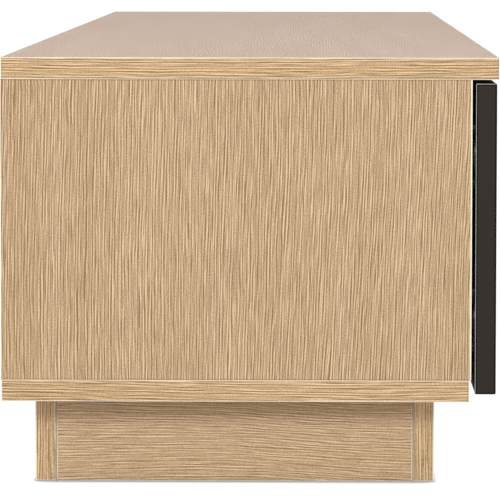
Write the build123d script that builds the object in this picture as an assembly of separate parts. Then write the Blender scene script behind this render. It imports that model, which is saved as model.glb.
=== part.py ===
"""Low TV stand: oak carcass on a recessed plinth, two hinged push-to-open doors and an open middle.

Units are millimetres.  +Z is up, the doors face -Y, and the origin is on the floor under the
middle of the stand.  The stand is symmetric about X = 0: the left half (-X) is modelled, and
the right half is its mirror image.
"""
import os

from build123d import *

# Overall size
LENGTH = 2000.0
DEPTH = 410.0
BOARD = 18.0              # thickness of the oak-faced boards
PLINTH_HEIGHT = 70.0
BAY_HEIGHT = 248.0        # clear height between the bottom panel and the top panel

# Edge bands
FRONT_BAND = 1.5
END_BAND = 1.0
DOOR_BAND = 2.0

# Carcass
CARCASS_SETBACK = 22.0    # from the top's front edge back to the front edges of the uprights
BOTTOM_SETBACK = 1.6      # from the uprights' front edges back to the bottom panel's front edge
DIVIDER_CENTRE = 360.0    # from the middle of the stand to the middle of a divider

# Back panels, held in grooves
BACK_THICK = 4.0
BACK_INSET = 12.0         # from the rear edges of the boards to the rear of the back panels
GROOVE_DEPTH = 5.0
GROOVE_PLAY = 0.1
CABLE_SLOT = (100.0, 40.0)
CABLE_SLOT_CORNER = 8.0

# Shelves and their pins
SHELF_END_PLAY = 1.0
CABINET_SHELF_SETBACK = 34.0
CENTRE_SHELF_SETBACK = 16.0
SHELF_REAR_GAP = 3.0
PIN_RADIUS = 2.5
PIN_DEPTH = 8.0
PIN_REACH = 9.0
PIN_COLLAR = (3.6, 1.0)   # radius and thickness
PIN_PITCH = 32.0
CABINET_PIN_Y = (-112.0, 130.0)
CENTRE_PIN_Y = (-85.0, 100.0)

# Knock-down fittings between the uprights and the top and bottom panels
CAM_Y = (-80.0, 140.0)
CAM_FROM_END = 24.0
CAM_RADIUS = 7.4
CAM_DEPTH = 13.5
CAM_SLOT = (8.0, 1.4, 1.8)
BOLT_THREAD = (3.0, 11.0)         # radius and length in the panel
BOLT_SHANK_RADIUS = 2.5
BOLT_HEAD = (3.4, 3.0)
BOLT_BORE = 3.7
DOWEL_Y = (-150.0, 95.0)
DOWEL_RADIUS = 4.0
DOWEL_IN_PANEL = 11.0
DOWEL_IN_UPRIGHT = 18.5
DOWEL_CHAMFER = 0.6
FIT = 0.05                        # radial play of a fixed fitting in its hole

# Plinth
PLINTH_END_RECESS = 30.0
PLINTH_FRONT_Y = -153.4
PLINTH_REAR_Y = 178.9
PLINTH_END_STEP = 0.3     # the end boards sit this far inside the ends of the long boards
RAIL_X = (-485.0, 0.0, 485.0)
BLOCK_SIZE = 25.0
BLOCK_HEIGHT = 40.0
BLOCK_CHAMFER = 3.0
PLINTH_SCREW = (2.0, 52.0, 4.0)   # shank radius, length, head radius

# Doors
DOOR_THICK = 17.2
DOOR_GAP = 3.0            # from the uprights' front edges to the back of the closed door
DOOR_TOP_GAP = 3.3
DOOR_BOTTOM_Z = 76.5
DOOR_OVERLAP = 17.0       # how far the free edge of the door covers the divider's front edge

# Concealed hinges, measured from the hinge pin: X inwards, Y to the rear
PIN_FROM_DOOR_END = 6.5
PIN_FROM_DOOR_BACK = 9.5
HINGE_FROM_DOOR_END = 60.0
CUP_RADIUS = 17.5
CUP_PLAY = 0.1
CUP_WALL = 0.8
CUP_DEPTH = 12.2
CUP_CENTRE = 14.0
CUP_FLANGE = (18.5, 1.0)          # radius and thickness
CUP_EAR = (12.0, 54.0, 4.0)       # width, length and corner radius
CUP_SCREW_OFFSET = (9.5, 22.5)    # from the middle of the cup
LUG_GAP = 8.4
LUG_THICK = 2.4
LUG_RADIUS = 2.0
HINGE_PIN_RADIUS = 1.0
HINGE_PIN_LENGTH = 12.2
RUNNING_FIT = 0.05
ARM_EYE_RADIUS = 1.7
ARM_WEB = (20.5, 2.0, 7.6)        # reach, thickness, width
ARM_LEG_WIDTH = 14.0
ARM_CHANNEL = (20.0, 82.0, 18.0)  # start, end and width
ARM_HEIGHT = 6.6
ARM_WALL = 1.4
PLATE_THICK = 2.3
PLATE_Y = (44.0, 66.0)
PLATE_SPAN = 52.0
PLATE_SCREW_SPAN = 32.0
PLATE_RIB_WIDTH = 14.4
PLATE_CORNER = 5.0
WOOD_SCREW = (1.8, 12.0, 3.4, 1.6)  # shank radius, length in wood, head radius, head height
ARM_SCREW = (2.4, 4.0, 1.6)         # shank radius, head radius, head height
ARM_SCREW_OFFSET = 4.0              # behind the middle of the mounting plate
SCREW_ROUNDING = 0.6                # share of a round head's height
RECESS = (1.1, 0.28)                # span and width of a cross recess, in head radii
RECESS_DEPTH = 1.0

# Push latches on the dividers
LATCH_Z = 250.0
LATCH_BODY = (12.0, 54.0, 12.0)
LATCH_CORNER = 2.0
LATCH_BASE = (2.0, 28.0)          # thickness and height of the screwed base plate
LATCH_SETBACK = 1.2               # from the divider's front edge to the latch's front
LATCH_BORE_DEPTH = 51.0
LATCH_SCREWS = ((12.0, 10.0), (42.0, -10.0))   # from the front, above the middle
LATCH_SCREW = (1.4, 11.0, 2.8, 1.5)
PLUNGER_RADIUS = 4.0
PLUNGER_LENGTH = 38.0
MAGNET = (3.2, 2.0)
STRIKE = (8.0, 0.8)
STRIKE_PLAY = 0.3

# Derived places
HALF = LENGTH / 2
FRONT = -DEPTH / 2
REAR = DEPTH / 2
BOTTOM_LOW, BOTTOM_HIGH = PLINTH_HEIGHT, PLINTH_HEIGHT + BOARD
TOP_LOW = BOTTOM_HIGH + BAY_HEIGHT
TOP_HIGH = TOP_LOW + BOARD
UPRIGHT_FRONT = FRONT + CARCASS_SETBACK
BOTTOM_FRONT = UPRIGHT_FRONT + BOTTOM_SETBACK
BACK_Y = (REAR - BACK_INSET - BACK_THICK, REAR - BACK_INSET)
SIDE_X = (-HALF, -HALF + BOARD)
DIVIDER_X = (-DIVIDER_CENTRE - BOARD / 2, -DIVIDER_CENTRE + BOARD / 2)
SHELF_LOW = BOTTOM_HIGH + (BAY_HEIGHT - BOARD) / 2
SHELF_REAR = BACK_Y[0] - SHELF_REAR_GAP
DOOR_X = (-HALF, DIVIDER_X[0] + DOOR_OVERLAP)
DOOR_BACK_Y = UPRIGHT_FRONT - DOOR_GAP
DOOR_Y = (DOOR_BACK_Y - DOOR_THICK, DOOR_BACK_Y)
DOOR_Z = (DOOR_BOTTOM_Z, TOP_LOW - DOOR_TOP_GAP)
HINGE_X = -HALF + PIN_FROM_DOOR_END
HINGE_Y = DOOR_BACK_Y - PIN_FROM_DOOR_BACK
HINGE_Z = (DOOR_Z[0] + HINGE_FROM_DOOR_END, DOOR_Z[1] - HINGE_FROM_DOOR_END)
PLINTH_END_X = -HALF + PLINTH_END_RECESS
LATCH_FRONT = UPRIGHT_FRONT + LATCH_SETBACK
LATCH_X = DIVIDER_X[0] - LATCH_BASE[0] - LATCH_BODY[0] / 2


def block(x, y, z):
    """Box between a low and a high value on each axis."""
    size = (x[1] - x[0], y[1] - y[0], z[1] - z[0])
    middle = ((x[0] + x[1]) / 2, (y[0] + y[1]) / 2, (z[0] + z[1]) / 2)
    return Pos(*middle) * Box(*size)


def rod(radius, start, end):
    """Cylinder from one point to another."""
    start, end = Vector(*start), Vector(*end)
    along = end - start
    bottom = (Align.CENTER, Align.CENTER, Align.MIN)
    return Plane(origin=start, z_dir=along) * Cylinder(radius, along.length, align=bottom)


def taper(low_radius, high_radius, start, end):
    """Cone from one point to another."""
    start, end = Vector(*start), Vector(*end)
    along = end - start
    bottom = (Align.CENTER, Align.CENTER, Align.MIN)
    return Plane(origin=start, z_dir=along) * Cone(low_radius, high_radius, along.length, align=bottom)


def minus(solid, tools):
    """The solid with every tool cut out of it."""
    for tool in tools:
        solid = solid - tool
    return solid


def mirrored(solids):
    """Copies of the solids on the other side of the stand's middle."""
    return [mirror(solid, about=Plane.YZ) for solid in solids]


def save(name, solids):
    """Write one node: a single solid, or a group of separate solids."""
    bodies = [body for solid in solids for body in solid.solids()]
    shape = bodies[0] if len(bodies) == 1 else Compound(children=bodies)
    export_step(shape, f"parts/{name}.step")


def save_pair(name, solids):
    """Write the left node and its mirror image as the right node."""
    save(f"left_{name}", solids)
    save(f"right_{name}", mirrored(solids))


def middle(low_high):
    return sum(low_high) / 2


def cross_recess(top, inward, head_radius):
    """Cross for the screwdriver, to be cut into the top of a screw's head."""
    span, width = (share * head_radius for share in RECESS)
    place = Plane(origin=Vector(*top), z_dir=Vector(*inward))
    return place * (Box(span, width, 2 * RECESS_DEPTH) + Box(width, span, 2 * RECESS_DEPTH))


# Knock-down fittings ------------------------------------------------------------------------

def upright_ends():
    """Each end of an upright: its Z, and the direction into the upright."""
    return ((BOTTOM_HIGH, 1), (TOP_LOW, -1))


def cam_holes(x_middle, face_x):
    """Bores in an upright for its cams, cam bolts and dowels."""
    deep_x = face_x + (CAM_DEPTH + FIT) * (1 if x_middle > face_x else -1)
    holes = []
    for end_z, inward in upright_ends():
        cam_z = end_z + inward * CAM_FROM_END
        for y in CAM_Y:
            holes.append(rod(CAM_RADIUS + FIT, (face_x, y, cam_z), (deep_x, y, cam_z)))
            holes.append(rod(BOLT_BORE, (x_middle, y, end_z), (x_middle, y, cam_z)))
        for y in DOWEL_Y:
            deep_z = end_z + inward * (DOWEL_IN_UPRIGHT + FIT)
            holes.append(rod(DOWEL_RADIUS + FIT, (x_middle, y, end_z), (x_middle, y, deep_z)))
    return holes


def panel_holes(end_z, inward):
    """Bores in the top or bottom panel for the cam bolts and dowels of all four uprights."""
    holes = []
    for x in (middle(SIDE_X), middle(DIVIDER_X), -middle(DIVIDER_X), -middle(SIDE_X)):
        for y in CAM_Y:
            deep_z = end_z - inward * (BOLT_THREAD[1] + FIT)
            holes.append(rod(BOLT_THREAD[0] + FIT, (x, y, end_z), (x, y, deep_z)))
        for y in DOWEL_Y:
            deep_z = end_z - inward * (DOWEL_IN_PANEL + FIT)
            holes.append(rod(DOWEL_RADIUS + FIT, (x, y, end_z), (x, y, deep_z)))
    return holes


def cam_lock(x_middle, face_x, y, cam_z, inward):
    """Round cam, with a cavity for the bolt's head and a cross slot for the screwdriver."""
    into = 1 if x_middle > face_x else -1
    cam = rod(CAM_RADIUS, (face_x, y, cam_z), (face_x + into * CAM_DEPTH, y, cam_z))
    cavity_start = (x_middle, y, cam_z - inward * (CAM_RADIUS + FIT))
    cavity_end = (x_middle, y, cam_z + inward * (BOLT_HEAD[1] / 2 + FIT))
    cam = cam - rod(BOLT_BORE, cavity_start, cavity_end)
    long, wide, deep = CAM_SLOT
    for size in ((2 * deep, long, wide), (2 * deep, wide, long)):
        cam = cam - Pos(face_x, y, cam_z) * Box(*size)
    return cam


def cam_bolt(x, y, end_z, inward):
    """Bolt screwed into the panel, with its head inside the cam."""
    cam_z = end_z + inward * CAM_FROM_END
    head_low = cam_z - inward * BOLT_HEAD[1] / 2
    head_high = cam_z + inward * BOLT_HEAD[1] / 2
    thread = rod(BOLT_THREAD[0], (x, y, end_z - inward * BOLT_THREAD[1]), (x, y, end_z))
    shank = rod(BOLT_SHANK_RADIUS, (x, y, end_z), (x, y, head_low))
    head = rod(BOLT_HEAD[0], (x, y, head_low), (x, y, head_high))
    return thread + shank + head


def dowel(x, y, end_z, inward):
    low = (x, y, end_z - inward * DOWEL_IN_PANEL)
    high = (x, y, end_z + inward * DOWEL_IN_UPRIGHT)
    peg = rod(DOWEL_RADIUS, low, high)
    return chamfer(peg.edges().filter_by(GeomType.CIRCLE), DOWEL_CHAMFER)


def fittings():
    """Cams, bolts and dowels of the two left uprights."""
    cams, bolts, dowels = [], [], []
    for upright_x, face_x in ((SIDE_X, SIDE_X[1]), (DIVIDER_X, DIVIDER_X[0])):
        x = middle(upright_x)
        for end_z, inward in upright_ends():
            for y in CAM_Y:
                cams.append(cam_lock(x, face_x, y, end_z + inward * CAM_FROM_END, inward))
                bolts.append(cam_bolt(x, y, end_z, inward))
            for y in DOWEL_Y:
                dowels.append(dowel(x, y, end_z, inward))
    return cams, bolts, dowels


# Carcass boards -----------------------------------------------------------------------------

def back_groove_x(face_x, into):
    """Upright groove in the face of a side panel or divider."""
    x = sorted((face_x, face_x + into * GROOVE_DEPTH))
    y = (BACK_Y[0] - GROOVE_PLAY, BACK_Y[1] + GROOVE_PLAY)
    return block(x, y, (BOTTOM_HIGH, TOP_LOW))


def back_groove_z(face_z, into):
    """Long groove in the underside of the top panel or the upper side of the bottom panel."""
    z = sorted((face_z, face_z + into * GROOVE_DEPTH))
    y = (BACK_Y[0] - GROOVE_PLAY, BACK_Y[1] + GROOVE_PLAY)
    return block((-HALF + END_BAND, HALF - END_BAND), y, z)


def pin_holes(face_x, into, columns):
    """Shelf pin holes, three high, in both columns of one face."""
    pin_z = SHELF_LOW - PIN_RADIUS
    deep_x = face_x + into * (PIN_DEPTH + FIT)
    holes = []
    for y in columns:
        for z in (pin_z - PIN_PITCH, pin_z, pin_z + PIN_PITCH):
            holes.append(rod(PIN_RADIUS + FIT, (face_x, y, z), (deep_x, y, z)))
    return holes


def top_panel():
    board = block((-HALF + END_BAND, HALF - END_BAND), (FRONT + FRONT_BAND, REAR), (TOP_LOW, TOP_HIGH))
    return minus(board, panel_holes(TOP_LOW, -1) + [back_groove_z(TOP_LOW, 1)])


def bottom_panel():
    x = (-HALF + END_BAND, HALF - END_BAND)
    board = block(x, (BOTTOM_FRONT + FRONT_BAND, REAR), (BOTTOM_LOW, BOTTOM_HIGH))
    tools = panel_holes(BOTTOM_HIGH, 1) + [back_groove_z(BOTTOM_HIGH, -1)]
    return minus(board, tools + [plinth_screw_hole(x, y) for x, y in block_places()])


def panel_bands(front_y, z):
    """Front band over the full length, and an end band at each end behind it."""
    front = block((-HALF, HALF), (front_y, front_y + FRONT_BAND), z)
    left_end = block((-HALF, -HALF + END_BAND), (front_y + FRONT_BAND, REAR), z)
    return [front, left_end] + mirrored([left_end])


def side_panel():
    board = block(SIDE_X, (UPRIGHT_FRONT + FRONT_BAND, REAR), (BOTTOM_HIGH, TOP_LOW))
    face_x = SIDE_X[1]
    tools = cam_holes(middle(SIDE_X), face_x) + pin_holes(face_x, -1, CABINET_PIN_Y)
    return minus(board, tools + plate_screw_holes() + [back_groove_x(face_x, -1)])


def divider():
    board = block(DIVIDER_X, (UPRIGHT_FRONT + FRONT_BAND, REAR), (BOTTOM_HIGH, TOP_LOW))
    outer_x, inner_x = DIVIDER_X
    tools = cam_holes(middle(DIVIDER_X), outer_x) + latch_screw_holes()
    tools += pin_holes(outer_x, 1, CABINET_PIN_Y) + pin_holes(inner_x, -1, CENTRE_PIN_Y)
    return minus(board, tools + [back_groove_x(outer_x, 1), back_groove_x(inner_x, -1)])


def upright_band(x):
    return block(x, (UPRIGHT_FRONT, UPRIGHT_FRONT + FRONT_BAND), (BOTTOM_HIGH, TOP_LOW))


def back_panel(x):
    """Thin panel between two uprights, let into their grooves."""
    reach = GROOVE_DEPTH - GROOVE_PLAY
    return block((x[0] - reach, x[1] + reach), BACK_Y, (BOTTOM_HIGH - reach, TOP_LOW + reach))


def cable_slot(z):
    profile = Plane.XZ * RectangleRounded(*CABLE_SLOT, CABLE_SLOT_CORNER)
    return Pos(0, middle(BACK_Y), z) * extrude(profile, BACK_THICK, both=True)


def centre_back_panel():
    lower_z = (BOTTOM_HIGH + SHELF_LOW) / 2
    upper_z = (SHELF_LOW + BOARD + TOP_LOW) / 2
    panel = back_panel((DIVIDER_X[1], -DIVIDER_X[1]))
    return minus(panel, [cable_slot(lower_z), cable_slot(upper_z)])


# Shelves ------------------------------------------------------------------------------------

def shelf(bay_x, setback):
    """A shelf board and its front band."""
    x = (bay_x[0] + SHELF_END_PLAY, bay_x[1] - SHELF_END_PLAY)
    z = (SHELF_LOW, SHELF_LOW + BOARD)
    front = UPRIGHT_FRONT + setback
    board = block(x, (front + FRONT_BAND, SHELF_REAR), z)
    band = block(x, (front, front + FRONT_BAND), z)
    return board, band


def shelf_pin(face_x, outward, y):
    """Pin in the face of an upright: the shelf rests on its outer half."""
    z = SHELF_LOW - PIN_RADIUS
    pin = rod(PIN_RADIUS, (face_x - outward * PIN_DEPTH, y, z), (face_x + outward * PIN_REACH, y, z))
    radius, thick = PIN_COLLAR
    collar = rod(radius, (face_x, y, z), (face_x + outward * thick, y, z))
    above_pin = block(
        (face_x - BOARD, face_x + BOARD),
        (y - BOARD, y + BOARD),
        (SHELF_LOW, SHELF_LOW + BOARD),
    )
    return pin + (collar - above_pin)


def left_shelf_pins():
    pins = [shelf_pin(SIDE_X[1], 1, y) for y in CABINET_PIN_Y]
    pins += [shelf_pin(DIVIDER_X[0], -1, y) for y in CABINET_PIN_Y]
    return pins + [shelf_pin(DIVIDER_X[1], 1, y) for y in CENTRE_PIN_Y]


# Plinth -------------------------------------------------------------------------------------

def plinth_long_board(y):
    x = (PLINTH_END_X + END_BAND, -PLINTH_END_X - END_BAND)
    return block(x, y, (0, PLINTH_HEIGHT))


def plinth_inner_y():
    return (PLINTH_FRONT_Y + BOARD, PLINTH_REAR_Y - BOARD)


def plinth_end_board():
    x = PLINTH_END_X + PLINTH_END_STEP
    return block((x, x + BOARD), plinth_inner_y(), (0, PLINTH_HEIGHT))


def plinth_band(y):
    return block((PLINTH_END_X, PLINTH_END_X + END_BAND), y, (0, PLINTH_HEIGHT))


def plinth_rail(x):
    return block((x - BOARD / 2, x + BOARD / 2), plinth_inner_y(), (0, PLINTH_HEIGHT))


def block_places():
    """X and Y of the glued blocks: in the four corners, and at both ends of each rail."""
    end_x = -PLINTH_END_X - PLINTH_END_STEP - BOARD - BLOCK_SIZE / 2
    rail_side = BOARD / 2 + BLOCK_SIZE / 2
    front_y, rear_y = plinth_inner_y()
    places = []
    for x in (-end_x, *[x + rail_side for x in RAIL_X], end_x):
        places.append((x, front_y + BLOCK_SIZE / 2))
        places.append((x, rear_y - BLOCK_SIZE / 2))
    return places


def plinth_screw_body(x, y, play=0.0):
    """Outline of a countersunk screw from under a block up into the bottom panel."""
    shank, length, head = PLINTH_SCREW
    low_z = PLINTH_HEIGHT - BLOCK_HEIGHT
    cone = taper(head + play, shank + play, (x, y, low_z), (x, y, low_z + head - shank))
    return cone + rod(shank + play, (x, y, low_z), (x, y, low_z + length + play))


def plinth_screw(x, y):
    top = (x, y, PLINTH_HEIGHT - BLOCK_HEIGHT)
    return plinth_screw_body(x, y) - cross_recess(top, (0, 0, 1), PLINTH_SCREW[2])


def plinth_screw_hole(x, y):
    return plinth_screw_body(x, y, FIT)


def glue_block(x, y):
    z = (PLINTH_HEIGHT - BLOCK_HEIGHT, PLINTH_HEIGHT)
    half = BLOCK_SIZE / 2
    body = block((x - half, x + half), (y - half, y + half), z)
    lower_edges = body.edges().group_by(Axis.Z)[0]
    return chamfer(lower_edges, BLOCK_CHAMFER) - plinth_screw_hole(x, y)


# Doors and concealed hinges -----------------------------------------------------------------

def hinge_frame(z):
    """The hinge pin's place on the left door at one height."""
    return Pos(HINGE_X, HINGE_Y, z)


def cup_screw_places():
    x = CUP_CENTRE + CUP_SCREW_OFFSET[0]
    return [(x, sign * CUP_SCREW_OFFSET[1]) for sign in (-1, 1)]


def hinge_cup():
    """Pressed cup with a screwed flange and two lugs that hold the pin."""
    back_y = PIN_FROM_DOOR_BACK
    floor_y = back_y - CUP_DEPTH
    flange_radius, flange_thick = CUP_FLANGE
    flange_y = back_y + flange_thick
    cup = rod(CUP_RADIUS, (CUP_CENTRE, floor_y, 0), (CUP_CENTRE, back_y, 0))
    cup += rod(flange_radius, (CUP_CENTRE, back_y, 0), (CUP_CENTRE, flange_y, 0))
    ear_width, ear_length, ear_corner = CUP_EAR
    ear = Plane.XZ * RectangleRounded(ear_width, ear_length, ear_corner)
    ear_x = CUP_CENTRE + CUP_SCREW_OFFSET[0]
    cup += Pos(ear_x, flange_y, 0) * extrude(ear, flange_thick)
    cup -= rod(CUP_RADIUS - CUP_WALL, (CUP_CENTRE, floor_y + CUP_WALL, 0), (CUP_CENTRE, flange_y, 0))
    for sign in (-1, 1):
        lug_z = sign * (LUG_GAP + LUG_THICK) / 2
        lug = Pos(0, 0, lug_z) * Cylinder(LUG_RADIUS, LUG_THICK)
        foot_y = (floor_y + CUP_WALL / 2, 0)
        foot = block((-LUG_RADIUS, LUG_RADIUS), foot_y, (lug_z - LUG_THICK / 2, lug_z + LUG_THICK / 2))
        cup += lug + (foot & rod(CUP_RADIUS, (CUP_CENTRE, floor_y, 0), (CUP_CENTRE, back_y, 0)))
    cup -= Cylinder(HINGE_PIN_RADIUS + RUNNING_FIT, LUG_GAP + 2 * LUG_THICK)
    for x, z in cup_screw_places():
        cup -= rod(WOOD_SCREW[0] + FIT, (x, back_y, z), (x, flange_y, z))
    return cup


def cup_bore():
    """Bore for a cup in the back of the door."""
    back_y = PIN_FROM_DOOR_BACK
    floor_y = back_y - CUP_DEPTH - CUP_PLAY
    return rod(CUP_RADIUS + CUP_PLAY, (CUP_CENTRE, floor_y, 0), (CUP_CENTRE, back_y, 0))


def round_head_screw(screw, seat, tip_direction):
    """Screw with a low round head whose underside is at the seat."""
    shank, length, head, height = screw
    seat = Vector(*seat)
    along = Vector(*tip_direction)
    body = rod(shank, seat, seat + along * length)
    cap = rod(head, seat, seat - along * height)
    top_edges = cap.edges().filter_by(GeomType.CIRCLE).sort_by(lambda edge: (edge.center() - seat).length)
    head_solid = fillet(top_edges[-1:], height * SCREW_ROUNDING)
    return body + head_solid - cross_recess(seat - along * height, along, head)


def cup_screws():
    flange_y = PIN_FROM_DOOR_BACK + CUP_FLANGE[1]
    return [round_head_screw(WOOD_SCREW, (x, flange_y, z), (0, -1, 0)) for x, z in cup_screw_places()]


def cup_screw_holes():
    back_y = PIN_FROM_DOOR_BACK
    holes = []
    for x, z in cup_screw_places():
        holes.append(rod(WOOD_SCREW[0] + FIT, (x, back_y, z), (x, back_y - WOOD_SCREW[1], z)))
    return holes


def hinge_pin():
    return Cylinder(HINGE_PIN_RADIUS, HINGE_PIN_LENGTH)


def hinge_arm():
    """Cranked arm: an eye round the pin, a web and a leg out of the cup, and a channel."""
    reach, thick, width = ARM_WEB
    start_y, end_y, channel_width = ARM_CHANNEL
    arm = Cylinder(ARM_EYE_RADIUS, width)
    arm += block((0, reach), (-thick / 2, thick / 2), (-width / 2, width / 2))
    half_leg = ARM_LEG_WIDTH / 2
    arm += block((reach - thick, reach), (-thick / 2, start_y + ARM_WALL), (-half_leg, half_leg))
    half = channel_width / 2
    arm += block((reach - ARM_HEIGHT, reach), (start_y, end_y), (-half, half))
    inner = half - ARM_WALL
    arm -= block((reach - ARM_HEIGHT, reach - ARM_WALL), (start_y, end_y), (-inner, inner))
    arm -= Cylinder(HINGE_PIN_RADIUS + FIT / 2, width)
    return arm - arm_screw_hole()


def arm_screw_place():
    return middle(PLATE_Y) + ARM_SCREW_OFFSET


def arm_screw_hole():
    shank = ARM_SCREW[0] + FIT
    y = arm_screw_place()
    plate_x = BOARD - PIN_FROM_DOOR_END + PLATE_THICK
    return rod(shank, (plate_x, y, 0), (ARM_WEB[0], y, 0))


def arm_screw():
    shank, head, height = ARM_SCREW
    plate_x = BOARD - PIN_FROM_DOOR_END + PLATE_THICK
    length = ARM_WEB[0] - plate_x - FIT
    return round_head_screw((shank, length, head, height), (ARM_WEB[0], arm_screw_place(), 0), (-1, 0, 0))


def plate_screw_places():
    return [(middle(PLATE_Y), sign * PLATE_SCREW_SPAN / 2) for sign in (-1, 1)]


def mounting_plate():
    """Winged plate on the side panel, with a rib that the arm's channel straddles."""
    side_x = BOARD - PIN_FROM_DOOR_END
    plate_x = side_x + PLATE_THICK
    half = PLATE_SPAN / 2
    wings = block((side_x, plate_x), PLATE_Y, (-half, half))
    wings = fillet(wings.edges().filter_by(Axis.X), PLATE_CORNER)
    rib_top = ARM_WEB[0] - ARM_WALL - FIT
    rib = block((plate_x, rib_top), PLATE_Y, (-PLATE_RIB_WIDTH / 2, PLATE_RIB_WIDTH / 2))
    plate = wings + rib - arm_screw_hole()
    for y, z in plate_screw_places():
        plate -= rod(WOOD_SCREW[0] + FIT, (side_x, y, z), (plate_x, y, z))
    return plate


def plate_screws():
    plate_x = BOARD - PIN_FROM_DOOR_END + PLATE_THICK
    length = WOOD_SCREW[1] + PLATE_THICK
    screw = (WOOD_SCREW[0], length, *WOOD_SCREW[2:])
    return [round_head_screw(screw, (plate_x, y, z), (-1, 0, 0)) for y, z in plate_screw_places()]


def plate_screw_holes():
    """Pilot holes in the side panel for both mounting plates."""
    side_x = BOARD - PIN_FROM_DOOR_END
    holes = []
    for hinge_z in HINGE_Z:
        for y, z in plate_screw_places():
            hole = rod(WOOD_SCREW[0] + FIT, (side_x, y, z), (side_x - WOOD_SCREW[1] - FIT, y, z))
            holes.append(hinge_frame(hinge_z) * hole)
    return holes


def at_hinges(make):
    """The same hinge piece or pieces at both hinge heights of the left door."""
    placed = []
    for z in HINGE_Z:
        pieces = make()
        for piece in pieces if isinstance(pieces, list) else [pieces]:
            placed.append(hinge_frame(z) * piece)
    return placed


def door_panel():
    x = (DOOR_X[0] + DOOR_BAND, DOOR_X[1] - DOOR_BAND)
    z = (DOOR_Z[0] + DOOR_BAND, DOOR_Z[1] - DOOR_BAND)
    return minus(block(x, DOOR_Y, z), at_hinges(cup_bore) + at_hinges(cup_screw_holes))


def door_bands():
    """Bands round the four edges of the door."""
    low_x, high_x = DOOR_X
    low_z, high_z = DOOR_Z
    inner_x = (low_x + DOOR_BAND, high_x - DOOR_BAND)
    return [
        block((low_x, inner_x[0]), DOOR_Y, DOOR_Z),
        block((inner_x[1], high_x), DOOR_Y, DOOR_Z),
        block(inner_x, DOOR_Y, (low_z, low_z + DOOR_BAND)),
        block(inner_x, DOOR_Y, (high_z - DOOR_BAND, high_z)),
    ]


# Push latches -------------------------------------------------------------------------------

def latch_tip_y():
    """Front end of the plunger with the door closed."""
    return DOOR_BACK_Y + STRIKE[1] + STRIKE_PLAY


def latch_screw_seats():
    seat_x = DIVIDER_X[0] - LATCH_BASE[0]
    return [(seat_x, LATCH_FRONT + back, LATCH_Z + up) for back, up in LATCH_SCREWS]


def latch_housing():
    """Square tube for the plunger on a base plate screwed to the divider."""
    width, length, height = LATCH_BODY
    y = (LATCH_FRONT, LATCH_FRONT + length)
    base_x = (DIVIDER_X[0] - LATCH_BASE[0], DIVIDER_X[0])
    base_z = (LATCH_Z - LATCH_BASE[1] / 2, LATCH_Z + LATCH_BASE[1] / 2)
    tube_x = (LATCH_X - width / 2, LATCH_X + width / 2)
    tube = block(tube_x, y, (LATCH_Z - height / 2, LATCH_Z + height / 2))
    tube = fillet(tube.edges().filter_by(Axis.Y).group_by(Axis.X)[0], LATCH_CORNER)
    bore_end = (LATCH_X, LATCH_FRONT + LATCH_BORE_DEPTH, LATCH_Z)
    housing = block(base_x, y, base_z) + tube
    housing -= rod(PLUNGER_RADIUS + RUNNING_FIT, (LATCH_X, LATCH_FRONT, LATCH_Z), bore_end)
    for x, y, z in latch_screw_seats():
        housing -= rod(LATCH_SCREW[0] + FIT, (x, y, z), (DIVIDER_X[0], y, z))
    return housing


def latch_screws():
    return [round_head_screw(LATCH_SCREW, seat, (1, 0, 0)) for seat in latch_screw_seats()]


def latch_screw_holes():
    radius, length = LATCH_SCREW[0] + FIT, LATCH_SCREW[1] + FIT
    return [rod(radius, (x, y, z), (x + length, y, z)) for x, y, z in latch_screw_seats()]


def latch_plunger():
    """Round plunger with a pocket for the magnet in its front end."""
    tip = latch_tip_y()
    body = rod(PLUNGER_RADIUS, (LATCH_X, tip, LATCH_Z), (LATCH_X, tip + PLUNGER_LENGTH, LATCH_Z))
    radius, depth = MAGNET
    return body - rod(radius + FIT, (LATCH_X, tip, LATCH_Z), (LATCH_X, tip + depth + FIT, LATCH_Z))


def latch_magnet():
    tip = latch_tip_y()
    return rod(MAGNET[0], (LATCH_X, tip, LATCH_Z), (LATCH_X, tip + MAGNET[1], LATCH_Z))


def strike_plate():
    radius, thick = STRIKE
    return rod(radius, (LATCH_X, DOOR_BACK_Y, LATCH_Z), (LATCH_X, DOOR_BACK_Y + thick, LATCH_Z))


# Writing the nodes --------------------------------------------------------------------------

os.makedirs("parts", exist_ok=True)

save("top_panel", [top_panel()])
save("top_edge_bands", panel_bands(FRONT, (TOP_LOW, TOP_HIGH)))
save("bottom_panel", [bottom_panel()])
save("bottom_edge_bands", panel_bands(BOTTOM_FRONT, (BOTTOM_LOW, BOTTOM_HIGH)))
save_pair("side_panel", [side_panel()])
save_pair("divider", [divider()])
side_band, divider_band = upright_band(SIDE_X), upright_band(DIVIDER_X)
save("side_front_bands", [side_band] + mirrored([side_band]))
save("divider_front_bands", [divider_band] + mirrored([divider_band]))
save_pair("back_panel", [back_panel((SIDE_X[1], DIVIDER_X[0]))])
save("centre_back_panel", [centre_back_panel()])

cabinet_shelf, cabinet_band = shelf((SIDE_X[1], DIVIDER_X[0]), CABINET_SHELF_SETBACK)
centre_shelf, centre_band = shelf((DIVIDER_X[1], -DIVIDER_X[1]), CENTRE_SHELF_SETBACK)
save_pair("cabinet_shelf", [cabinet_shelf])
save("centre_shelf", [centre_shelf])
save("shelf_front_bands", [cabinet_band, centre_band] + mirrored([cabinet_band]))
save("shelf_pins", left_shelf_pins() + mirrored(left_shelf_pins()))

for name, pieces in zip(("cam_locks", "cam_bolts", "dowels"), fittings()):
    save(name, pieces + mirrored(pieces))

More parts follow.
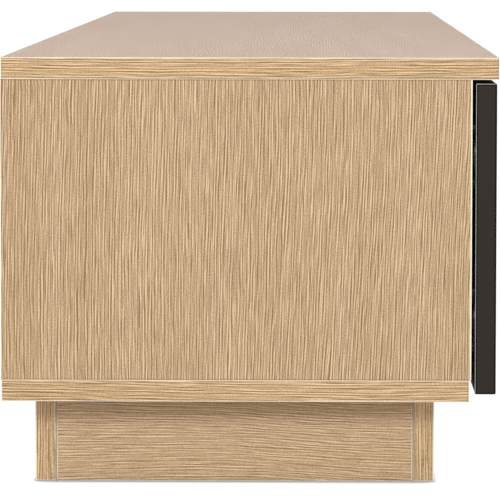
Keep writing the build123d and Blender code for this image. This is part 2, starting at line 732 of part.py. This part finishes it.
front_board_y = (PLINTH_FRONT_Y, PLINTH_FRONT_Y + BOARD)
rear_board_y = (PLINTH_REAR_Y - BOARD, PLINTH_REAR_Y)
plinth_bands = [plinth_band(front_board_y), plinth_band(rear_board_y)]
save("plinth_front_board", [plinth_long_board(front_board_y)])
save("plinth_rear_board", [plinth_long_board(rear_board_y)])
save("plinth_edge_bands", plinth_bands + mirrored(plinth_bands))
save_pair("plinth_end_board", [plinth_end_board()])
save("plinth_rails", [plinth_rail(x) for x in RAIL_X])
save("plinth_glue_blocks", [glue_block(x, y) for x, y in block_places()])
save("plinth_screws", [plinth_screw(x, y) for x, y in block_places()])

save_pair("door_panel", [door_panel()])
save_pair("door_edge_bands", door_bands())
save_pair("hinge_cups", at_hinges(hinge_cup))
save_pair("hinge_cup_screws", at_hinges(cup_screws))
carcass_hinge_pieces = {
    "hinge_arms": hinge_arm,
    "hinge_pins": hinge_pin,
    "hinge_mounting_plates": mounting_plate,
    "hinge_plate_screws": plate_screws,
    "hinge_arm_screws": arm_screw,
}
for name, make in carcass_hinge_pieces.items():
    pieces = at_hinges(make)
    save(name, pieces + mirrored(pieces))

save("latch_housings", [latch_housing()] + mirrored([latch_housing()]))
save("latch_screws", latch_screws() + mirrored(latch_screws()))
save_pair("latch_plunger", [latch_plunger()])
save_pair("latch_magnet", [latch_magnet()])
save_pair("strike_plate", [strike_plate()])
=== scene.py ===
"""The look of the low oak TV stand: banded boards, materials, floor, light and camera.

Units are metres in the CAD model's own frame: +Z up, doors towards -Y.
"""
import math
from itertools import product

import bmesh
import bpy
from mathutils import Matrix, Vector


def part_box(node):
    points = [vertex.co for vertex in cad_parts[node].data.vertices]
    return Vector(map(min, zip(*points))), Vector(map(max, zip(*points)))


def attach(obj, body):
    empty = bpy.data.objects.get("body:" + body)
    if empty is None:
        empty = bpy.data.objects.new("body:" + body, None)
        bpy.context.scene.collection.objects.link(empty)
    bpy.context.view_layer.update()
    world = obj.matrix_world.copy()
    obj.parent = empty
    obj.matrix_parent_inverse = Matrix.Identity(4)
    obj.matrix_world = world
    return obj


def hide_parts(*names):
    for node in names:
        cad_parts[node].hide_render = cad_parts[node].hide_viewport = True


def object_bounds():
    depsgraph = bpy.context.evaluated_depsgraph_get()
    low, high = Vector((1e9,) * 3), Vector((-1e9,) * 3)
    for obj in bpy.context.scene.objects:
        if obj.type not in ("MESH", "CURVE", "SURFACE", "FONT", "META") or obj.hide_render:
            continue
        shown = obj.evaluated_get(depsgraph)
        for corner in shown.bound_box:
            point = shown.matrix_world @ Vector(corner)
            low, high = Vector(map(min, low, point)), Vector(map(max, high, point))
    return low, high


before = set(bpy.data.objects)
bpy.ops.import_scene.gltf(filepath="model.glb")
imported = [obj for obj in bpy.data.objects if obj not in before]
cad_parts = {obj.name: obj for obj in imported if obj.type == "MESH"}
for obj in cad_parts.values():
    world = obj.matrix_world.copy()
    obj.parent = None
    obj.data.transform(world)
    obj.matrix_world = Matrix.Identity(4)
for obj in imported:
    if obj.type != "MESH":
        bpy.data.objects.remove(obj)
CAD_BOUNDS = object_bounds()
MM = 0.001
SIDES = ("left", "right")
SHELVES = ("left_cabinet_shelf", "right_cabinet_shelf", "centre_shelf")
PLINTH_BOARDS = ("plinth_front_board", "plinth_rear_board")

# Linear colours
OAK_DARK = (0.185, 0.117, 0.043)
OAK_MID = (0.382, 0.252, 0.138)
OAK_LIGHT = (0.630, 0.435, 0.262)
# cream on the uprights' band sections and rounded edges: a painted highlight
CREAM_HIGHLIGHT = (0.80, 0.74, 0.56)
# pale colour on the oak boards' rounded edges: a painted highlight
ARRIS_HIGHLIGHT = (0.74, 0.66, 0.54)
# grey on the plinth boards' rounded edges beside the end boards: painted shade in the gap
GAP_SHADE_GREY = (0.30, 0.27, 0.22)
CHARCOAL = (0.019, 0.0135, 0.0095)
# black on the doors' top and bottom faces and on their rounded edges that look forwards, down or
# endways: painted shade
SHADE_BLACK = (0.006, 0.005, 0.005)
# pale grey on the doors' rounded edges that look up or back: a painted highlight
RIM_HIGHLIGHT_GREY = (0.62, 0.61, 0.58)

# Oak grain. A scale is in noise cells per metre, along the grain and across it.
LINE_SETS = (                # pitch, scale of the drift noise, drift in radians
    (1.95 * MM, (14, 150), 12.0),
    (2.7 * MM, (24, 210), 10.0),
)
LINE_FAINT, LINE_DEEP = 0.12, 0.46
BREAK_SCALE = (42, 420)      # where lines are faint or deep
PORE_SCALE = (45, 1200)
PORE_DEPTH = 0.55
SPECKLE_SCALE = 850
WANDER = 1.5 * MM            # sideways wander of the grain
WANDER_SCALE = (11, 60)
SWEEP_SCALE = (3.4, 4)
BAND_SCALE = (1.8, 34)       # soft bands of lighter and darker wood
BAND_DARK, BAND_LIGHT = (0.965, 0.955, 0.93), (1.03, 1.035, 1.06)
OAK_ROUGHNESS = (0.62, 0.46)     # in the grain's dark and light parts
OAK_SPECULAR = 0.42
OAK_BUMP = 0.08 * MM

# Painted shade line in the joints between boards
JOINT_WIDTH = 1.3 * MM
JOINT_PAINTED_SHADE = 0.72

# Boards
ARRIS_WIDTH = 0.6 * MM
JOINT_ARRIS = 0.9 * MM
DOOR_ARRIS = 1.6 * MM
ARRIS_SEGMENTS = 2
DOOR_ARRIS_SEGMENTS = 4
ARRIS_PROFILE = 0.6
# the door's pale rounded edges are a painted highlight
HIGHLIGHT_SLOPE = 0.5         # a door's rounded edge is pale where it looks this much up or back

# Floor
FLOOR_HALF = 60.0
FLOOR_DROP = 0.2 * MM
FLOOR_GLOW = 1.03
CONTACT_REACH = 5 * MM
CONTACT_SHADOW = ((0.5, 0.4), (0.8, 1.0))
END_SHADOW_REACH = 26 * MM
END_SHADOW = ((0.5, 0.25), (0.62, 0.55), (0.75, 0.86), (0.88, 1.0))
OCCLUSION_SAMPLES = 16

# Lights: offset from what they light, width and height, and power
OVERHEAD_LIGHT = ((-0.6, 0.4, 2.6), (2.2, 0.8), 9)
NEAR_END_LIGHT = ((-3.0, 0.1, 1.8), (1.6, 1.0), 57)

# Camera: its place, and its turn from straight along +X, in radians
CAMERA_PLACE = (-4.4110, -0.0512, 0.4558)
CAMERA_PAN, CAMERA_TILT, CAMERA_ROLL = 0.0149, 0.0761, 0.0009
CAMERA_LENS = 299.15
CAMERA_SENSOR = 36.0
CAMERA_CLIP = (0.05, 200.0)


# Materials ----------------------------------------------------------------------------------

class Nodes:
    """Short calls for building one material's node tree."""

    def __init__(self, name):
        self.material = bpy.data.materials.new(name)
        self.material.use_nodes = True
        self.tree = self.material.node_tree
        self.shader = self.tree.nodes["Principled BSDF"]
        self.place = self.add("ShaderNodeTexCoord").outputs["Object"]

    def add(self, kind, **settings):
        node = self.tree.nodes.new(kind)
        for key, value in settings.items():
            setattr(node, key, value)
        return node

    def link(self, source, target):
        self.tree.links.new(source, target)

    def stretched(self, scale, offset=(0, 0, 0), place=None):
        """Coordinates multiplied by a scale on each axis, after an offset."""
        node = self.add("ShaderNodeMapping", vector_type="POINT")
        node.inputs["Scale"].default_value = scale
        node.inputs["Location"].default_value = offset
        self.link(place or self.place, node.inputs["Vector"])
        return node.outputs["Vector"]

    def even(self, scale):
        """Coordinates multiplied by the same scale on every axis."""
        return self.stretched((scale, scale, scale))

    def noise(self, place, detail=2.0, roughness=0.5, output="Fac"):
        """Noise with one cell per unit of the coordinates it is given."""
        node = self.add("ShaderNodeTexNoise")
        node.inputs["Scale"].default_value = 1.0
        node.inputs["Detail"].default_value = detail
        node.inputs["Roughness"].default_value = roughness
        self.link(place, node.inputs["Vector"])
        return node.outputs[output]

    def shift(self, place, amount, detail, roughness=0.5):
        """Noise on all three axes, centred on nought, times an amount for each axis."""
        noise = self.noise(place, detail, roughness, "Color")
        return self.vector("MULTIPLY", self.vector("SUBTRACT", noise, (0.5, 0.5, 0.5)), amount)

    def math(self, operation, *values):
        node = self.add("ShaderNodeMath", operation=operation)
        for socket, value in zip(node.inputs, values):
            if isinstance(value, (int, float)):
                socket.default_value = value
            else:
                self.link(value, socket)
        return node.outputs["Value"]

    def vector(self, operation, first, second, output="Vector"):
        node = self.add("ShaderNodeVectorMath", operation=operation)
        for socket, value in zip(node.inputs, (first, second)):
            if isinstance(value, tuple):
                socket.default_value = value
            else:
                self.link(value, socket)
        return node.outputs[output]

    def ramp(self, value, *stops):
        """Colour ramp from (position, colour) stops; a colour may be one grey number."""
        node = self.add("ShaderNodeValToRGB")
        elements = node.color_ramp.elements
        while len(elements) < len(stops):
            elements.new(0.5)
        for element, (position, colour) in zip(elements, stops):
            grey = isinstance(colour, (int, float))
            element.position = position
            element.color = (colour, colour, colour, 1) if grey else (*colour, 1)
        self.link(value, node.inputs["Fac"])
        return node.outputs["Color"]

    def mix(self, amount, first, second, blend="MIX"):
        node = self.add("ShaderNodeMix", data_type="RGBA", blend_type=blend)
        factor, colour_a, colour_b = (node.inputs[index] for index in (0, 6, 7))
        for socket, value in ((factor, amount), (colour_a, first), (colour_b, second)):
            if isinstance(value, (int, float)):
                socket.default_value = value
            elif isinstance(value, tuple):
                socket.default_value = (*value, 1)
            else:
                self.link(value, socket)
        return node.outputs[2]

    def bump(self, height, distance):
        node = self.add("ShaderNodeBump")
        node.inputs["Distance"].default_value = distance
        self.link(height, node.inputs["Height"])
        self.link(node.outputs["Normal"], self.shader.inputs["Normal"])

    def colour(self, value):
        self.link(value, self.shader.inputs["Base Color"])

    def tint(self, value, colour, dark, light, stops=(0.3, 0.7)):
        """Base colour from a darker to a lighter shade of one colour."""
        shades = [tuple(min(c * share, 1.0) for c in colour) for share in (dark, light)]
        self.colour(self.ramp(value, *zip(stops, shades)))

    def roughness(self, value, low, high):
        node = self.add("ShaderNodeMapRange")
        node.inputs["To Min"].default_value = low
        node.inputs["To Max"].default_value = high
        self.link(value, node.inputs["Value"])
        self.link(node.outputs["Result"], self.shader.inputs["Roughness"])


def along(axis, with_grain, across):
    """A scale for each axis: one number along the grain and another across it."""
    return tuple(with_grain if name == axis else across for name in "xyz")


def oak(name, grain, depth=1.0, tone=(1.0, 1.0, 1.0), seed=0.0, sweep=0.02, joints=()):
    """Light oak: fine embossed lines that wander along the grain, broken by pores and soft bands.

    depth: contrast of the grain. sweep: how far the grain leans slowly sideways, in metres.
    joints: heights at which the board meets another, where a thin painted shade line goes.
    """
    n = Nodes(name)
    offset = (seed, seed * 0.7, seed * 1.3)
    wave = n.shift(n.stretched(along(grain, *WANDER_SCALE), offset), along(grain, 0.0, WANDER), 4.0, 0.6)
    slope = n.shift(n.stretched(along(grain, *SWEEP_SCALE), offset), along(grain, 0.0, sweep), 0.0)
    place = n.vector("ADD", n.place, n.vector("ADD", wave, slope))

    def grain_noise(scale, detail):
        return n.noise(n.stretched(along(grain, *scale), offset, place), detail)

    speckle = n.noise(n.even(SPECKLE_SCALE), 1.0)
    relief = n.math("MULTIPLY", n.math("SUBTRACT", grain_noise(PORE_SCALE, 0.0), 0.5), PORE_DEPTH)
    relief = n.math("ADD", n.math("SUBTRACT", speckle, 0.5), relief)
    strength = n.ramp(grain_noise(BREAK_SCALE, 1.0), (0.36, LINE_FAINT), (0.62, LINE_DEEP))
    for pitch, scale, drift in LINE_SETS:
        across = n.vector("DOT_PRODUCT", place, along(grain, 0.0, 2 * math.pi / pitch), "Value")
        lines = n.math("SINE", n.math("MULTIPLY_ADD", grain_noise(scale, 1.5), drift, across))
        relief = n.math("MULTIPLY_ADD", lines, strength, relief)
    level = n.math("MULTIPLY_ADD", relief, 0.5 * depth, 0.5)

    dark, mid, light = (
        tuple(c * t for c, t in zip(colour, tone)) for colour in (OAK_DARK, OAK_MID, OAK_LIGHT)
    )
    bands = n.ramp(grain_noise(BAND_SCALE, 2.0), (0.36, BAND_DARK), (0.64, BAND_LIGHT))
    colour = n.mix(1.0, n.ramp(level, (0.2, dark), (0.5, mid), (0.8, light)), bands, "MULTIPLY")
    # painted shade lines along the joints
    for height in joints:
        colour = n.mix(1.0, colour, painted_joint_shade(n, height), "MULTIPLY")
    n.colour(colour)
    n.roughness(level, *OAK_ROUGHNESS)
    n.shader.inputs["Specular IOR Level"].default_value = OAK_SPECULAR
    n.bump(level, OAK_BUMP)
    return n.material


def painted_joint_shade(n, height):
    """Thin painted shade where an upright meets the panel above or below it."""
    split = n.add("ShaderNodeSeparateXYZ")
    n.link(n.place, split.inputs["Vector"])
    distance = n.math("ABSOLUTE", n.math("SUBTRACT", split.outputs["Z"], height))
    return n.ramp(n.math("DIVIDE", distance, JOINT_WIDTH), (0.45, JOINT_PAINTED_SHADE), (1.0, 1.0))


def painted_edge_tone(name, colour):
    """One colour with a fine speckle, for the painted highlights on rounded edges and band sections and
    the painted shade in the plinth's gaps.
    """
    n = Nodes(name)
    speckle = n.noise(n.even(900), 2.0, 0.6)
    n.tint(speckle, colour, 0.9, 1.08)
    n.roughness(speckle, 0.56, 0.44)
    n.shader.inputs["Specular IOR Level"].default_value = 0.4
    n.bump(speckle, 0.03 * MM)
    return n.material


def charcoal(name, colour, roughness, specular):
    """Near-black laminate with a faint orange-peel and slight handling marks."""
    n = Nodes(name)
    fine = n.noise(n.even(1400), 2.0, 0.5)
    marks = n.noise(n.even(9), 4.0, 0.6)
    n.tint(fine, colour, 0.86, 1.14)
    n.roughness(marks, roughness - 0.07, roughness + 0.09)
    n.shader.inputs["Specular IOR Level"].default_value = specular
    n.bump(fine, 0.02 * MM)
    return n.material


def metal(name, colour, roughness):
    """Plated steel with fine drawn lines."""
    n = Nodes(name)
    lines = n.noise(n.stretched(along("x", 60, 900)), 2.0, 0.5)
    n.tint(lines, colour, 0.82, 1.0)
    n.shader.inputs["Metallic"].default_value = 1.0
    n.roughness(lines, roughness - 0.08, roughness + 0.1)
    n.bump(lines, 0.02 * MM)
    return n.material


def nylon(name, colour):
    """Moulded plastic with a fine grain."""
    n = Nodes(name)
    grain = n.noise(n.even(1800), 1.0, 0.5)
    n.tint(grain, colour, 0.9, 1.1)
    n.roughness(grain, 0.42, 0.55)
    n.bump(grain, 0.03 * MM)
    return n.material


def softwood(name, colour, grain):
    """Planed pine or beech for blocks and dowels."""
    n = Nodes(name)
    rings = n.noise(n.stretched(along(grain, 12, 260)), 2.0, 0.5)
    n.tint(rings, colour, 0.72, 1.0, stops=(0.35, 0.6))
    n.roughness(rings, 0.7, 0.55)
    n.bump(rings, 0.1 * MM)
    return n.material


UPRIGHT_ENDS = (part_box("left_side_panel")[0][2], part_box("left_side_panel")[1][2])
OAK_X = oak("oak_grain_along", "x")
OAK_Z = oak("oak_grain_upright", "z", 1.05, sweep=-0.018, joints=UPRIGHT_ENDS)
# the top face's paler, bluer tone and fainter grain are a painted sheen: the low-angle reflection of the
# white surroundings painted into its colour
OAK_TOP_SHEEN = oak("oak_top_painted_sheen", "x", 0.55, tone=(1.04, 1.10, 1.46), seed=3.0)
BAND_X = oak("oak_band_along", "x", 1.1, seed=5.0, sweep=0.006)
BAND_Y = oak("oak_band_across", "y", 1.1, tone=(1.09, 1.08, 1.02), seed=7.0, sweep=0.006)
BAND_Z = oak("oak_band_upright", "z", 0.95, tone=(1.03, 1.02, 0.96), seed=9.0, sweep=0.006)
PLINTH_END = oak("oak_plinth_end", "y", 0.82, tone=(1.03, 1.03, 1.03), seed=11.0)
BACKBOARD = oak("oak_backboard", "x", 0.7, tone=(0.94, 0.94, 0.94), seed=13.0)
# rounded oak edges: pale colour as a painted highlight
PAINTED_HIGHLIGHT_ARRIS = painted_edge_tone("oak_arris_painted_highlight", ARRIS_HIGHLIGHT)
# plinth boards' inner rounded edges: painted gap shade
GAP_SHADE_EDGE = painted_edge_tone("oak_painted_gap_shade", GAP_SHADE_GREY)
# uprights' band sections and rounded edges: painted cream highlight
CREAM_SECTION_HIGHLIGHT = painted_edge_tone("oak_band_painted_highlight", CREAM_HIGHLIGHT)
DOOR_FACE = charcoal("charcoal_face", CHARCOAL, 0.5, 0.25)
# door top and bottom faces and edges facing away from the lights: painted shade
DOOR_PAINTED_SHADE = charcoal("charcoal_arris_painted_shade", SHADE_BLACK, 0.7, 0.08)
DOOR_END = charcoal("charcoal_end", CHARCOAL, 0.5, 0.15)
# door edges that look up or back: painted highlight
DOOR_RIM_HIGHLIGHT = charcoal("charcoal_rim_painted_highlight", RIM_HIGHLIGHT_GREY, 0.45, 0.4)
ZINC = metal("zinc_plate", (0.62, 0.62, 0.60), 0.38)
NICKEL = metal("nickel_plate", (0.72, 0.70, 0.66), 0.24)
ONYX = metal("black_plate", (0.045, 0.044, 0.042), 0.35)
MAGNET = metal("magnet_plate", (0.55, 0.55, 0.55), 0.2)
GREY_NYLON = nylon("grey_nylon", (0.20, 0.20, 0.20))
BEECH = softwood("beech", (0.58, 0.40, 0.25), "z")
PINE = softwood("pine", (0.66, 0.48, 0.28), "z")


# Banded boards ------------------------------------------------------------------------------

def board_faces(bm, low, high):
    """Adds a box to the mesh and returns its six faces by outward direction."""
    corner = [bm.verts.new(point) for point in product(*zip(low, high))]
    loops = {
        "-x": (0, 1, 3, 2), "+x": (4, 6, 7, 5), "-y": (0, 4, 5, 1),
        "+y": (2, 3, 7, 6), "-z": (0, 2, 6, 4), "+z": (1, 5, 7, 3),
    }
    return {side: bm.faces.new([corner[i] for i in loop]) for side, loop in loops.items()}


def shared_edge(first, second):
    return next(edge for edge in first.edges if edge in second.edges)


def boards(name, parts, body, replaced, materials, arris=ARRIS_WIDTH,
           segments=ARRIS_SEGMENTS, shaded=None):
    """One piece of one or more boards with rounded outer edges.

    parts: (low corner, high corner, joined sides, {side: material number}) for each board.
    materials: the board's material, then the rounded edges', then any others.
    shaded: says from a rounded face's normal and middle whether it takes the third material.
    """
    bm = bmesh.new()
    for low, high, joined, numbers in parts:
        faces = board_faces(bm, low, high)
        for side, number in numbers.items():
            faces[side].material_index = number
        free = [side for side in faces if side not in joined]
        pairs = [(faces[a], faces[b]) for a in free for b in free if a[1] != b[1]]
        edges = dict.fromkeys(shared_edge(*pair) for pair in pairs)
        bevels = bmesh.ops.bevel(
            bm, geom=list(edges), offset=arris, offset_type="OFFSET", segments=segments,
            profile=ARRIS_PROFILE, affect="EDGES", material=1, clamp_overlap=True,
        )
        for face in bevels["faces"] if shaded else ():
            if shaded(face.normal, face.calc_center_median()):
                face.material_index = 2
    mesh = bpy.data.meshes.new(name)
    bm.to_mesh(mesh)
    bm.free()
    piece = bpy.data.objects.new(name, mesh)
    bpy.context.scene.collection.objects.link(piece)
    for material in materials:
        mesh.materials.append(material)
    mesh.shade_smooth()
    modifier = piece.modifiers.new("normals", "WEIGHTED_NORMAL")
    modifier.keep_sharp = True
    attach(piece, body)
    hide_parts(*replaced)


def put(point, **changes):
    """The point with some of its coordinates changed."""
    return Vector((changes.get("x", point[0]), changes.get("y", point[1]), changes.get("z", point[2])))


def panel_bands(panel, node, name):
    """Front band and two end bands round the top or bottom panel."""
    low, high = (Vector(c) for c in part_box(panel))
    outer_low, outer_high = (Vector(c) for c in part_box(node))
    front = (outer_low, put(outer_high, y=low.y), ("+y",), {"-x": 2, "+x": 2})
    left = (put(outer_low, y=low.y), put(outer_high, x=low.x), ("-y", "+x"), {"-x": 2})
    right = (put(outer_low, x=high.x, y=low.y), outer_high, ("-y", "-x"), {"+x": 2})
    boards(name, (front, left, right), "carcass", (node,), (BAND_X, PAINTED_HIGHLIGHT_ARRIS, BAND_Y))


def upright_bands(panels, node, name):
    """Front bands of two uprights: a painted cream highlight on their sections and rounded edges, oak on
    the front.
    """
    band_low, band_high = (Vector(c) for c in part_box(node))
    parts = []
    for panel in panels:
        low, high = (Vector(c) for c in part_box(panel))
        start, end = put(low, y=band_low.y), put(high, y=band_high.y)
        parts.append((start, end, ("+y", "-z", "+z"), {"-x": 2, "+x": 2}))
    boards(name, parts, "carcass", (node,), (BAND_Z, CREAM_SECTION_HIGHLIGHT, CREAM_SECTION_HIGHLIGHT))


def shelf_bands():
    """Front bands of the shelves, as thick as the uprights' front bands."""
    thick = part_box("side_front_bands")[1][1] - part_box("side_front_bands")[0][1]
    parts = []
    for node in SHELVES:
        low, high = (Vector(c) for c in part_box(node))
        parts.append((put(low, y=low.y - thick), put(high, y=low.y), ("+y",), {}))
    boards(
        "shelf_bands_rounded", parts, "carcass", ("shelf_front_bands",),
        (BAND_X, PAINTED_HIGHLIGHT_ARRIS),
    )


def plain_board(node, material, joined):
    """A board with no bores, with its free edges rounded."""
    parts = [(*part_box(node), joined, {})]
    boards(f"{node}_rounded", parts, "carcass", (node,), (material, PAINTED_HIGHLIGHT_ARRIS))


def takes_gap_shade(normal, middle):
    """True for the inner edges of the plinth's long boards, beside the end boards, which take a painted
    gap shade.
    """
    return normal.y * middle.y < 0


def plinth_bands():
    """Bands on both ends of the plinth's long boards."""
    low, high = (Vector(c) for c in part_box("plinth_edge_bands"))
    parts = []
    for node in PLINTH_BOARDS:
        board_low, board_high = (Vector(c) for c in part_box(node))
        parts.append((put(board_low, x=low.x), put(board_high, x=board_low.x), ("+x",), {}))
        parts.append((put(board_low, x=board_high.x), put(board_high, x=high.x), ("-x",), {}))
    boards(
        "plinth_bands_rounded", parts, "carcass", ("plinth_edge_bands",),
        (BAND_Z, PAINTED_HIGHLIGHT_ARRIS, GAP_SHADE_EDGE), JOINT_ARRIS, shaded=takes_gap_shade,
    )


def door_edge_in_shade(normal, middle):
    """True for a door's rounded edges that look forwards, down or endways, which take the painted shade.
    """
    return max(normal.y, normal.z) < HIGHLIGHT_SLOPE or min(normal.y, normal.z) < 0


def door_bands(side):
    """Bands round one door: painted shade on their top and bottom faces and on the rounded edges that
    look forwards, down or endways, and a painted highlight on the rounded edges that look up or back.
    """
    low, high = (Vector(c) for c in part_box(f"{side}_door_panel"))
    outer_low, outer_high = (Vector(c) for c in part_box(f"{side}_door_edge_bands"))
    # the top and bottom faces take the painted shade material, the front and back the charcoal face
    face = {"-y": 3, "+y": 3, "+z": 2, "-z": 2}
    parts = [
        (outer_low, put(outer_high, x=low.x), ("+x",), face),
        (put(outer_low, x=high.x), outer_high, ("-x",), face),
        (put(outer_low, x=low.x), put(outer_high, x=high.x, z=low.z), ("-x", "+x", "+z"), face),
        (put(outer_low, x=low.x, z=high.z), put(outer_high, x=high.x), ("-x", "+x", "-z"), face),
    ]
    boards(
        f"{side}_door_bands_rounded", parts, f"{side}_door",
        (f"{side}_door_edge_bands",), (DOOR_END, DOOR_RIM_HIGHLIGHT, DOOR_PAINTED_SHADE, DOOR_FACE),
        DOOR_ARRIS, DOOR_ARRIS_SEGMENTS, door_edge_in_shade,
    )


# The CAD nodes that stay get a finish each --------------------------------------------------

def finish(node, material):
    """Gives a CAD node its material."""
    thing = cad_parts[node]
    if not thing.material_slots:
        thing.data.materials.append(material)
    for slot in thing.material_slots:
        slot.material = material


KEPT = {
    "top_panel": OAK_TOP_SHEEN, "bottom_panel": OAK_X,
    "left_side_panel": OAK_Z, "right_side_panel": OAK_Z, "left_divider": OAK_Z, "right_divider": OAK_Z,
    "left_back_panel": BACKBOARD, "centre_back_panel": BACKBOARD, "right_back_panel": BACKBOARD,
    "left_door_panel": DOOR_FACE, "right_door_panel": DOOR_FACE,
    "shelf_pins": NICKEL, "cam_locks": ZINC, "cam_bolts": ZINC, "dowels": BEECH,
    "plinth_glue_blocks": PINE, "plinth_screws": ZINC,
    "hinge_arms": ONYX, "hinge_pins": NICKEL, "hinge_mounting_plates": ONYX,
    "hinge_plate_screws": ONYX, "hinge_arm_screws": ONYX,
    "latch_housings": GREY_NYLON, "latch_screws": NICKEL,
}
for side in SIDES:
    KEPT[f"{side}_hinge_cups"] = ONYX
    KEPT[f"{side}_hinge_cup_screws"] = ONYX
    KEPT[f"{side}_strike_plate"] = NICKEL
    KEPT[f"{side}_latch_plunger"] = GREY_NYLON
    KEPT[f"{side}_latch_magnet"] = MAGNET
for node, material in KEPT.items():
    finish(node, material)

panel_bands("top_panel", "top_edge_bands", "top_bands_rounded")
panel_bands("bottom_panel", "bottom_edge_bands", "bottom_bands_rounded")
upright_bands(("left_side_panel", "right_side_panel"), "side_front_bands", "side_bands_rounded")
upright_bands(("left_divider", "right_divider"), "divider_front_bands", "divider_bands_rounded")
shelf_bands()
for node in SHELVES:
    plain_board(node, OAK_X, ("-y",))
for node in PLINTH_BOARDS:
    plain_board(node, OAK_X, ("-x", "+x", "+z"))
for side in SIDES:
    plain_board(f"{side}_plinth_end_board", PLINTH_END, ("+z",))
plinth_bands()
finish("plinth_rails", OAK_X)
for side in SIDES:
    door_bands(side)


# Floor, light and camera --------------------------------------------------------------------

def occlusion(n, reach, shades):
    """Shade by how much stands within a distance."""
    node = n.add("ShaderNodeAmbientOcclusion", samples=OCCLUSION_SAMPLES)
    node.inputs["Distance"].default_value = reach
    return n.ramp(node.outputs["AO"], *shades)


def white_floor():
    """Pale glowing floor with painted shadow only where something stands on it, and more of it beyond
    the plinth's ends.
    """
    mesh = bpy.data.meshes.new("floor")
    half = FLOOR_HALF
    corners = [(-half, -half, 0), (half, -half, 0), (half, half, 0), (-half, half, 0)]
    mesh.from_pydata(corners, [], [(0, 1, 2, 3)])
    floor = bpy.data.objects.new("floor", mesh)
    bpy.context.scene.collection.objects.link(floor)
    floor.location.z = -FLOOR_DROP
    n = Nodes("floor")
    split = n.add("ShaderNodeSeparateXYZ")
    n.link(n.place, split.inputs["Vector"])
    plinth_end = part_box("plinth_edge_bands")[1][0]
    beyond = n.math("GREATER_THAN", n.math("ABSOLUTE", split.outputs["X"]), plinth_end)
    contact = occlusion(n, CONTACT_REACH, CONTACT_SHADOW)
    shadow = occlusion(n, END_SHADOW_REACH, END_SHADOW)
    glow = n.add("ShaderNodeEmission")
    n.link(n.mix(beyond, contact, shadow), glow.inputs["Color"])
    glow.inputs["Strength"].default_value = FLOOR_GLOW
    n.link(glow.outputs["Emission"], n.tree.nodes["Material Output"].inputs["Surface"])
    mesh.materials.append(n.material)


def soft_box(name, target, offset, size, power):
    """A rectangular light that faces its target."""
    place = target + Vector(offset)
    light = bpy.data.lights.new(name, "AREA")
    light.shape = "RECTANGLE"
    light.size, light.size_y = size
    light.energy = power
    box = bpy.data.objects.new(name, light)
    bpy.context.scene.collection.objects.link(box)
    box.location = place
    box.rotation_euler = (target - place).to_track_quat("-Z", "Y").to_euler()


def photo_camera():
    """Long lens on the left end, from a little above."""
    pan, tilt, roll = CAMERA_PAN, CAMERA_TILT, CAMERA_ROLL
    forward = Vector((math.cos(tilt) * math.cos(pan), math.cos(tilt) * math.sin(pan), -math.sin(tilt)))
    level = Vector((math.sin(pan), -math.cos(pan), 0))
    upright = level.cross(forward)
    right = level * math.cos(roll) + upright * math.sin(roll)
    up = upright * math.cos(roll) - level * math.sin(roll)
    data = bpy.data.cameras.new("camera")
    data.lens = CAMERA_LENS
    data.sensor_width = CAMERA_SENSOR
    data.clip_start, data.clip_end = CAMERA_CLIP
    camera = bpy.data.objects.new("camera", data)
    bpy.context.scene.collection.objects.link(camera)
    turn = Matrix((right, up, -forward)).transposed().to_4x4()
    camera.matrix_world = Matrix.Translation(CAMERA_PLACE) @ turn
    bpy.context.scene.camera = camera


def white_world():
    """Even white light from all round."""
    world = bpy.data.worlds.new("studio")
    world.use_nodes = True
    background = world.node_tree.nodes["Background"]
    background.inputs["Color"].default_value = (1, 1, 1, 1)
    background.inputs["Strength"].default_value = 1.0
    bpy.context.scene.world = world


white_floor()
white_world()
middle = (Vector(CAD_BOUNDS[0]) + Vector(CAD_BOUNDS[1])) / 2
near_end = put(middle, x=CAD_BOUNDS[0][0])
soft_box("overhead", middle, *OVERHEAD_LIGHT)
soft_box("near_end", near_end, *NEAR_END_LIGHT)
photo_camera()
bpy.context.scene.view_settings.view_transform = "Standard"
